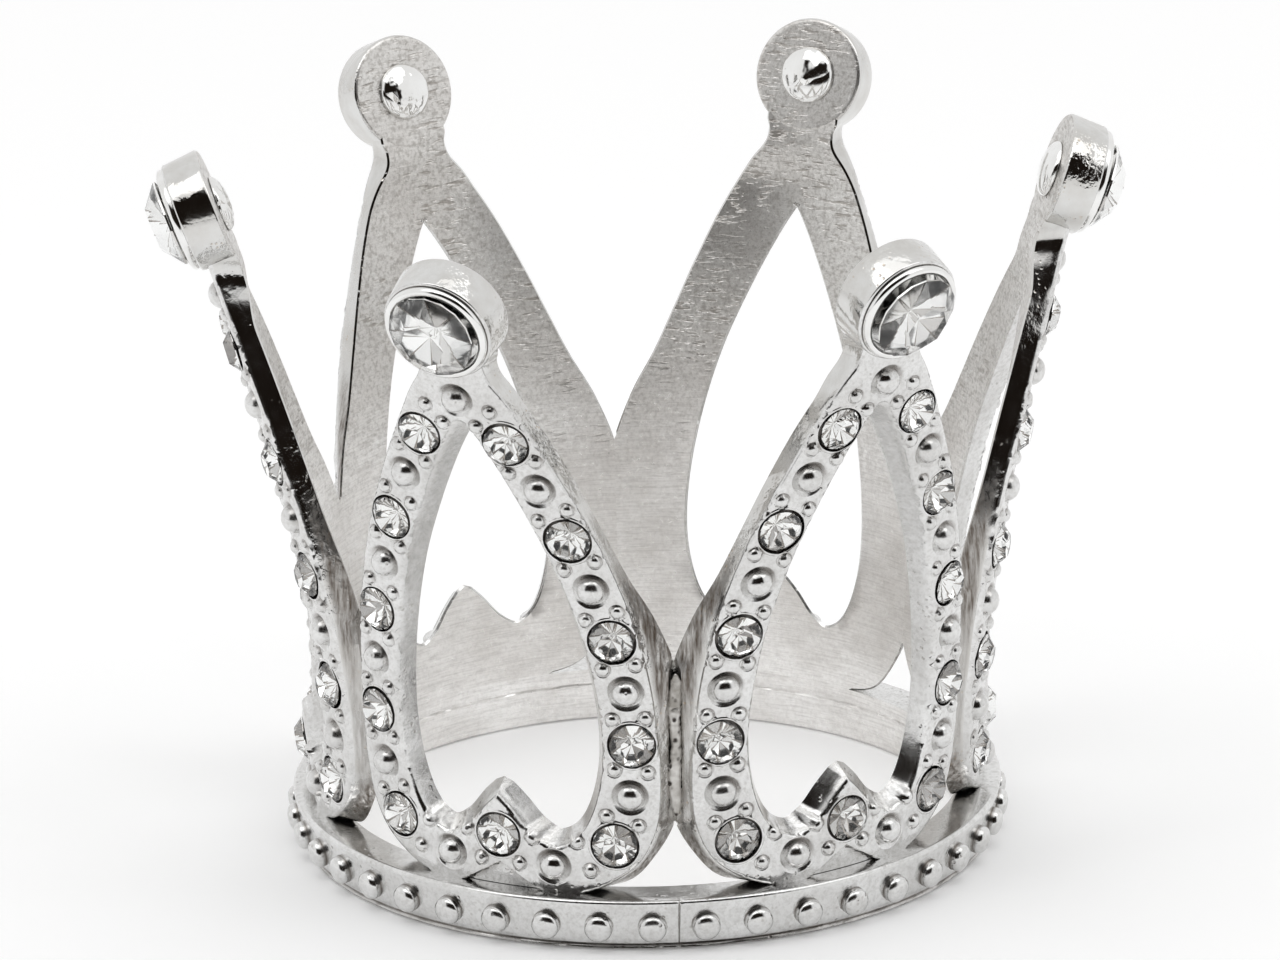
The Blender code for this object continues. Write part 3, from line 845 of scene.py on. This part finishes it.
def add_wall(bag, upper, lower, flat, depth, dull, look):
    """Lofts a wall from a loop of the front face to one of the back face, ending depth in front of that."""
    count = len(upper)
    top = np.concatenate(bag.points)[upper]
    bottom = on_petal(flat, back_face(flat[:, 1]) + depth)
    rows = [upper]
    for share in WALL_SHARES:
        rows.append(bag.count + np.arange(count))
        # dull feeds the recess mask, painted shade with some dirt, which the material also reads as roughness
        bag.add(top + (bottom - top) * share, [], look, dull)
    rows.append(lower)
    for a, b in zip(rows, rows[1:]):
        for i in range(count):
            j = (i + 1) % count
            quad = (a[i], b[i], b[j], a[j])
            bag.faces.append(quad if look == WALL else quad[::-1])
            bag.looks.append(look)


def add_boss(bag):
    """Turned boss at the tip, open in front for the setting."""
    profile = [(0.0, BOSS_BACK), (BOSS_RADIUS - 0.40, BOSS_BACK)]
    profile += arc((BOSS_RADIUS - 0.28, BOSS_BACK + 0.27), 0.27, -90.0, -3.0, 8)
    profile += arc((BOSS_FRONT - 0.14, BOSS_THICK - 0.14), 0.14, 0.0, 90.0, 6)
    profile += [(LIP_RADIUS + 0.02, BOSS_THICK), (LIP_RADIUS + 0.01, BOSS_THICK - 0.10),
                (POCKET_RADIUS, BOSS_THICK - 0.10), (POCKET_RADIUS, 1.0), (0.0, 1.0)]
    points, faces, bands = turned_mesh(profile, ROUND_SIDES)
    back_bands, rim_bands = 5, 11
    looks = [BRUSHED if band < back_bands else WALL if band < rim_bands else CAST for band in bands]
    radius = np.hypot(points[:, 0], points[:, 1])
    # Painted shade: a dark band at the top of the pocket, under the lip of the setting.
    gap = np.where((radius < LIP_RADIUS + 0.015) & (points[:, 2] > BOSS_THICK - 0.2), 0.8, 0.0)
    bag.add(moved(points, petal_frame(0.0, BOSS_HEIGHT, 0.0)), faces, looks, gap)


def petal_mesh(looks):
    """The pierced petal with its boss, seats, beads and granules, on -Y."""
    foot = OUTLINE[0][1]
    outer = full_loop(smooth_half(OUTLINE, CURVE_STEPS))
    back_outer = full_loop(smooth_half(BACK_OUTLINE, CURVE_STEPS))
    for loop in (outer, back_outer):
        loop[:, 1] = np.maximum(loop[:, 1], foot)
    hole = full_loop(smooth_half(OPENING, CURVE_STEPS))
    back_hole = offset_loop(hole, -OPENING_DRAFT)
    n, m = len(outer), len(hole)
    bag = Bag()

    flat, faces = triangles(outer, hole, sample_points(outer, hole))
    edge = np.minimum(distance_to(flat, outer, foot + 0.01), distance_to(flat, hole))
    lift, grime_and_shade = relief(flat, edge)
    bag.add(on_petal(flat, PLATE, lift), faces, CAST, grime_and_shade)

    back_outer, over = within_sector(back_outer)
    inset = offset_loop(back_outer, -BACK_ROUND)
    inset[:, 1] = np.maximum(inset[:, 1], foot)
    inset = np.where(over[:, None] > -0.02, back_outer, inset)
    standing = back_outer[:, 1] <= foot + 0.01
    inset[standing] = back_outer[standing]
    inset_hole = offset_loop(back_hole, BACK_ROUND)
    flat, faces = triangles(inset, inset_hole, back_fill(inset, inset_hole))
    back = bag.count
    bag.add(on_petal(flat, back_face(flat[:, 1])), faces[:, ::-1], BRUSHED)

    # The outer wall thins to a web where neighbours meet, and carries painted shade and more roughness in the
    # valley between them
    web = smoothstep(-0.05, 0.25, over)
    web_depth = np.where(standing, 0.0, BACK_ROUND + (WEB_THICKNESS - BACK_ROUND) * web)
    room = (flare(outer[:, 1]) + PLATE) * PITCH / 2.0 - np.abs(outer[:, 0])
    valley = 0.50 * (1.0 - smoothstep(0.6, 2.0, room))
    valley = np.maximum(valley, 0.90 * smoothstep(0.8, 1.6, room) * (1.0 - smoothstep(2.8, 4.8, room)))
    add_wall(bag, np.arange(n), back + np.arange(n), back_outer, web_depth, 0.10 + valley, WALL)
    add_wall(bag, n + np.arange(m), back + n + np.arange(m), back_hole, BACK_ROUND, 0.10, CAST)

    add_boss(bag)
    return bag.mesh("cast_petal", looks, 38.0)


# ---- Base ring and seam


def ring_profile():
    """Section of the base ring, counter-clockwise from the inner foot, and where its inner side starts."""
    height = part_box("base_ring")[1].z / MM
    foot, top = RING_OUTER_FOOT, RING_OUTER_TOP
    run = (top - foot) / height
    profile = [(RING_INNER + 0.28, 0.0), (foot - 0.25, 0.0), (foot - 0.08, 0.04), (foot, 0.14)]
    profile += [(foot - 0.03, 0.24), (foot - 0.13, GROOVE_HEIGHT), (foot - 0.02, 0.42), (foot + 0.08, 0.52)]
    profile += [(foot + run * z, z) for z in (0.8, 1.3, 1.8, 2.3, 2.8)]
    profile += arc((top - 0.27, height - 0.25), 0.25, 5.0, 90.0, 6)
    profile += [(top - 0.9, height)]
    inner_start = len(profile)
    profile += [(float(flare(height)), height), (float(flare(2.9)), 2.9)]
    profile += [(float(flare(2.52)) + 0.03, 2.52), (RING_INNER + 0.02, CREASE_HEIGHT + 0.03)]
    profile += [(RING_INNER - 0.03, CREASE_HEIGHT - 0.06), (RING_INNER, CREASE_HEIGHT - 0.2)]
    profile += [(RING_INNER, 1.6), (RING_INNER, 0.9), (RING_INNER, 0.35)]
    profile += arc((RING_INNER + 0.28, 0.28), 0.28, 180.0, 262.0, 4)
    return profile, inner_start


def add_ring_beads(bag):
    """Row of button beads round the ring."""
    total = PETALS * BEADS_PER_PETAL
    run = (RING_OUTER_TOP - RING_OUTER_FOOT) / (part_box("base_ring")[1].z / MM)
    radius = RING_OUTER_FOOT + run * RING_BEAD_HEIGHT
    lean = math.atan(run)
    button = [(0.0, -0.4), (0.93, -0.4), (0.90, 0.0), (0.885, 0.22), (0.87, 0.34), (0.82, 0.46),
              (0.72, 0.56), (0.56, 0.65), (0.36, 0.71), (0.17, 0.735), (0.0, 0.74)]
    body, faces, _ = turned_mesh(button, 32)
    # Painted shade, with some dirt: a dark line round the foot of each bead, where it meets the ring.
    shade_and_stain = np.where(np.abs(body[:, 2]) < 0.05, 0.95, 0.0)
    for k in range(total):
        frame = (Matrix.Rotation(2.0 * math.pi * (k + 0.5) / total, 4, "Z")
                 @ Matrix.Translation((0.0, -radius, RING_BEAD_HEIGHT))
                 @ Matrix.Rotation(math.pi / 2.0 + lean, 4, "X"))
        bag.add(moved(body, frame), faces, CAST, shade_and_stain)


def ring_mesh(looks):
    """The base ring with its scored closing line, the crease inside and its beads."""
    profile, inner_start = ring_profile()
    count = len(profile)
    regular = [2.0 * math.pi * k / RING_COLUMNS for k in range(1, RING_COLUMNS)]
    seam = CLOSING_HALF
    regular = [a for a in regular if seam < a < 2.0 * math.pi - seam]
    angles = np.array([-seam, -0.3 * seam, 0.0, 0.3 * seam, seam, *regular])
    columns = len(angles)
    radii = np.array([p[0] for p in profile])
    heights = np.array([p[1] for p in profile])
    outer = radii > RING_OUTER_FOOT - 0.3
    inner_sheet = np.arange(count) >= inner_start
    rng = np.random.default_rng(7)
    wobble = rng.normal(0.0, 1.0, (columns, count))
    points = np.zeros((columns, count, 3))
    grime_and_shade = np.zeros((columns, count))
    crease = np.abs(heights - CREASE_HEIGHT) < 0.1
    low_edge = heights < 0.3
    for c, angle in enumerate(angles):
        cut = 0.07 if abs(angle) < 0.2 * seam else 0.0
        r = radii - np.where(outer, cut, 0.0) + np.where(crease & inner_sheet, 0.045 * wobble[c], 0.0)
        r = r + np.where(low_edge & outer, 0.014 * wobble[c], 0.0)
        points[c, :, 0] = r * math.sin(angle)
        points[c, :, 1] = -r * math.cos(angle)
        points[c, :, 2] = heights
        # Painted shade, with some dirt, along the scored closing line.
        grime_and_shade[c] = np.where(outer & (cut > 0.0), 0.7, 0.0)
    groove = np.argmin(np.where(outer, np.abs(heights - GROOVE_HEIGHT), 9.0))
    # Painted shade, with some dirt: darker round the bottom edge, in the groove and in the inner crease.
    grime_and_shade[:, low_edge & outer] = 0.40
    grime_and_shade[:, groove] = 0.90
    grime_and_shade[:, crease & inner_sheet] = 0.6
    faces, face_looks = [], []
    for c in range(columns):
        for i in range(count):
            j = (i + 1) % count
            d = (c + 1) % columns
            faces.append((c * count + i, d * count + i, d * count + j, c * count + j))
            face_looks.append(BRUSHED if inner_sheet[i] and inner_sheet[j] else CAST)
    bag = Bag()
    bag.add(points.reshape(-1, 3), faces, face_looks, grime_and_shade.reshape(-1))
    add_ring_beads(bag)
    return bag.mesh("cast_ring", looks, 38.0)


def solder_mesh(tin):
    """Lumpy run of solder in the valley of the closing seam."""
    low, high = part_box("solder_seam")
    bottom, top = low.z / MM, high.z / MM
    rng = np.random.default_rng(11)
    levels, around = 60, 10
    points, faces = [], []
    for i in range(levels):
        t = i / (levels - 1)
        height = bottom + (top - bottom) * t
        taper = math.sqrt(max(0.02, 1.0 - (2.0 * t - 1.0) ** 6))
        half = (0.37 + 0.05 * math.sin(9.0 * t) + 0.03 * rng.normal()) * taper
        thick = (0.20 + 0.05 * rng.normal()) * taper
        shift = 0.06 * math.sin(14.0 * t + 1.0)
        base = float(flare(height)) + 0.74
        for k in range(around):
            angle = 2.0 * math.pi * k / around
            points.append((shift + half * math.cos(angle), -(base + thick * math.sin(angle)), height))
    for i in range(levels - 1):
        for k in range(around):
            n = (k + 1) % around
            faces.append((around * i + n, around * i + k, around * i + around + k, around * i + around + n))
    faces.append(tuple(range(around)))
    last = around * (levels - 1)
    faces.append(tuple(reversed(range(last, last + around))))
    return mesh_from("solder_run", points, faces, [tin], sharp=60.0)


# ---- Settings and stones


def setting_mesh(look):
    """Cup with a rolled lip, its shank, and the domed rivet head behind the petal."""
    profile = [(0.0, BOSS_BACK - HEAD_RISE)]
    for degrees in (15, 30, 45, 60, 72, 82, 90):
        a = math.radians(degrees)
        profile.append((HEAD_RADIUS * math.sin(a), BOSS_BACK - 0.06 - (HEAD_RISE - 0.06) * math.cos(a)))
    profile += [(HEAD_RADIUS - 0.05, BOSS_BACK - 0.01), (1.0, BOSS_BACK - 0.01), (1.0, 1.02)]
    profile += [(LIP_BORE + 0.07, 1.02), (LIP_BORE + 0.07, BOSS_THICK - 0.08)]
    profile += [(LIP_RADIUS - 0.04, BOSS_THICK - 0.08)]
    profile += arc((LIP_RADIUS - 0.30, LIP_TOP - 0.32), 0.30, -25.0, 95.0, 9)
    profile += arc((LIP_BORE + 0.24, LIP_TOP - 0.24), 0.24, 95.0, 175.0, 6)
    profile += [(LIP_BORE + 0.01, LIP_TOP - 0.34), (LIP_BORE, 2.0), (LIP_BORE - 0.1, 1.35), (0.0, 1.2)]
    points, faces, _ = turned_mesh(profile, ROUND_SIDES)
    return mesh_from("rivet_setting", points, faces, [look], recess=np.zeros(len(points)), sharp=40.0)


def brilliant(name, looks, radius, table, rise, girdle, depth, level, seam):
    """Faceted chaton: a table and its kites over a girdle, and eight foiled mains parted by dark seams."""

    def ring(r, z, angles):
        return [(r * math.cos(a), r * math.sin(a), z) for a in angles]

    even = [math.pi / 8.0 * k for k in range(16)]
    mains = [math.pi / 4.0 * k + shift for k in range(8) for shift in (seam, math.pi / 4.0 - seam)]
    low = level - girdle
    points = (ring(table, level + rise, even[::2]) + ring(radius, level, even) + ring(radius, low, even)
              + ring(radius - 0.02, low - 0.02, mains) + [(0.0, 0.0, low - depth)])
    table_at, girdle_at, low_at, main_at, culet = 0, 8, 24, 40, 56
    faces = [tuple(range(8))]
    kinds = [GLASS]

    def face(kind, *corners):
        faces.append(corners)
        kinds.append(kind)

    for k in range(8):
        n = (k + 1) % 8
        left, right, far = main_at + 2 * k, main_at + 2 * k + 1, main_at + 2 * n
        face(GLASS, table_at + k, girdle_at + (2 * k - 1) % 16, girdle_at + 2 * k)
        face(GLASS, table_at + k, girdle_at + 2 * k, girdle_at + 2 * k + 1)
        face(GLASS, table_at + k, girdle_at + 2 * k + 1, table_at + n)
        face(FOIL, culet, right, left)
        face(SEAM, culet, far, right)
        face(FOIL, left, right, low_at + 2 * k + 1)
        face(FOIL, left, low_at + 2 * k + 1, low_at + 2 * k)
        face(SEAM, right, low_at + 2 * n, low_at + 2 * k + 1)
        face(SEAM, right, far, low_at + 2 * n)
    for k in range(16):
        n = (k + 1) % 16
        face(FOIL, girdle_at + k, low_at + k, low_at + n, girdle_at + n)
    return mesh_from(name, points, faces, looks, kinds)


def scattered(rng, tilt, shift):
    """Small random tilt, turn and shift, as a stone set by hand has."""
    turn = Matrix.Rotation(rng.uniform(0.0, 2.0 * math.pi), 4, "Z")
    lean = Matrix.Rotation(math.radians(rng.uniform(-tilt, tilt)), 4, "X")
    sway = Matrix.Rotation(math.radians(rng.uniform(-tilt, tilt)), 4, "Y")
    move = Matrix.Translation([rng.uniform(-shift, shift) for _ in range(3)])
    return move @ lean @ sway @ turn


# ---- Assembly


def build_crown():
    cast, brushed, wall = cast_silver(), brushed_silver(), wall_silver()
    polished = polished_silver()
    glass, seams = crystal_glass(), foil_seam()
    soft_foil, sharp_foil = crystal_foil("large_foil", 0.50, 0.09), crystal_foil("small_foil", 0.30, 0.02)

    piece("cast_base_ring", ring_mesh([cast, brushed]), Matrix.Identity(4), "silver_plate", "base_ring")
    piece("solder_run", solder_mesh(solder_tin()), Matrix.Identity(4), "solder", "solder_seam")

    petal = petal_mesh([cast, brushed, wall])
    setting = setting_mesh(polished)
    large = brilliant("large_chaton", [glass, soft_foil, seams], **LARGE_CHATON)
    small = brilliant("small_chaton", [glass, sharp_foil, seams], **SMALL_CHATON)
    rng = random.Random(5)
    boss = petal_frame(0.0, BOSS_HEIGHT, 0.0)
    for index in range(1, PETALS + 1):
        turn = turned(index)
        piece(f"cast_petal_{index}", petal, turn, "silver_plate", f"petal_{index}")
        piece(f"rivet_setting_{index}", setting, turn @ boss, "setting_silver", f"setting_{index}")
        piece(f"tip_crystal_{index}", large, turn @ boss @ scattered(rng, 2.5, 0.05), "crystal_clear",
              f"crystal_{index}")
        for number, (across, height) in enumerate(STONE_SEATS, 1):
            for side, sign in (("left", -1.0), ("right", 1.0)):
                place = turn @ petal_frame(sign * across, height, PLATE) @ scattered(rng, 5.0, 0.04)
                stands_for = [f"stone_{index}_{side}_{number}"] if number <= STONE_PAIRS_IN_CAD else []
                piece(f"chaton_{index}_{side}_{number}", small, place, "rhinestone", *stands_for)
        place = turn @ petal_frame(*CUSP_SEAT, PLATE) @ scattered(rng, 5.0, 0.04)
        piece(f"chaton_{index}_cusp", small, place, "rhinestone")


# ---- Stage


def build_floor():
    mesh = bpy.data.meshes.new("floor")
    corners = [(x * FLOOR_HALF, y * FLOOR_HALF, FLOOR_LEVEL) for x, y in ((-1, -1), (1, -1), (1, 1), (-1, 1))]
    mesh.from_pydata(corners, [], [(0, 1, 2, 3)])
    mesh.materials.append(floor_white())
    floor = bpy.data.objects.new("floor", mesh)
    bpy.context.scene.collection.objects.link(floor)


def build_world():
    """White tent, open and dark only where the camera looks in."""
    world = bpy.data.worlds.new("tent")
    bpy.context.scene.world = world
    world.use_nodes = True
    tree = world.node_tree
    direction = node(tree, "ShaderNodeTexCoord").outputs["Generated"]
    parts = node(tree, "ShaderNodeSeparateXYZ", {0: direction}).outputs
    azimuth = math_node(tree, "ARCTAN2", parts[0], math_node(tree, "MULTIPLY", parts[1], -1.0))
    azimuth = math_node(tree, "ABSOLUTE", math_node(tree, "SUBTRACT", azimuth, math.radians(CAMERA_AZIMUTH)))
    height = math_node(tree, "ARCSINE", parts[2])

    def step(value, start, end, first, last):
        made = node(tree, "ShaderNodeMapRange",
                    {"Value": value, "From Min": math.radians(start), "From Max": math.radians(end),
                     "To Min": first, "To Max": last}, interpolation_type="SMOOTHSTEP")
        return made.outputs["Result"]

    sides = step(azimuth, *DARK_SIDES, 1.0, 0.0)
    below = step(height, *DARK_BELOW, 0.0, 1.0)
    above = step(height, *DARK_ABOVE, 1.0, 0.0)
    mask = math_node(tree, "MULTIPLY", sides, math_node(tree, "MULTIPLY", below, above))
    path = node(tree, "ShaderNodeLightPath").outputs
    seen = path["Is Camera Ray"]
    mask = math_node(tree, "MULTIPLY", mask, math_node(tree, "SUBTRACT", 1.0, seen))
    cleared = math_node(tree, "MULTIPLY", path["Is Transmission Ray"], CLEARED_IN_GLASS)
    mask = math_node(tree, "MULTIPLY", mask, math_node(tree, "SUBTRACT", 1.0, cleared))
    tent = blend_color(tree, seen, (0.94, 0.94, 0.94, 1.0), (1.05, 1.05, 1.05, 1.0))
    color = blend_color(tree, mask, tent, (0.012, 0.009, 0.007, 1.0))
    background = tree.nodes["Background"]
    tree.links.new(color, background.inputs["Color"])
    background.inputs["Strength"].default_value = 1.0


def area_light(name, azimuth, elevation, distance, size, power):
    """Soft box that looks at the crown."""
    a, e = math.radians(azimuth), math.radians(elevation)
    target = Vector(LIGHT_TARGET)
    back = Vector((math.sin(a) * math.cos(e), -math.cos(a) * math.cos(e), math.sin(e)))
    data = bpy.data.lights.new(name, "AREA")
    data.shape = "RECTANGLE"
    data.size = data.size_y = size
    data.energy = power
    lamp = bpy.data.objects.new(name, data)
    lamp.location = target + back * distance
    lamp.rotation_mode = "QUATERNION"
    lamp.rotation_quaternion = back.to_track_quat("Z", "Y")
    bpy.context.scene.collection.objects.link(lamp)


def build_lights():
    for name, settings in LIGHTS.items():
        area_light(name, *settings)


def build_camera():
    e, roll = math.radians(CAMERA_ELEVATION), math.radians(CAMERA_ROLL)
    back = Vector((0.0, -math.cos(e), math.sin(e)))
    level = Vector((1.0, 0.0, 0.0))
    up = Vector((0.0, math.sin(e), math.cos(e)))
    right = math.cos(roll) * level + math.sin(roll) * up
    upright = -math.sin(roll) * level + math.cos(roll) * up
    turn = Matrix.Rotation(math.radians(CAMERA_AZIMUTH), 3, "Z")
    pose = Matrix((turn @ right, turn @ upright, turn @ back)).transposed().to_4x4()
    pose.translation = turn @ (Vector(CAMERA_TARGET) + back * CAMERA_DISTANCE) * MM
    data = bpy.data.cameras.new("camera")
    data.sensor_width = 36.0
    data.lens = CAMERA_LENS
    camera = bpy.data.objects.new("camera", data)
    camera.matrix_world = pose
    bpy.context.scene.collection.objects.link(camera)
    bpy.context.scene.camera = camera


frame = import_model()
bpy.context.scene.view_settings.view_transform = "Standard"
build_camera()
build_world()
build_lights()
build_floor()
build_crown()
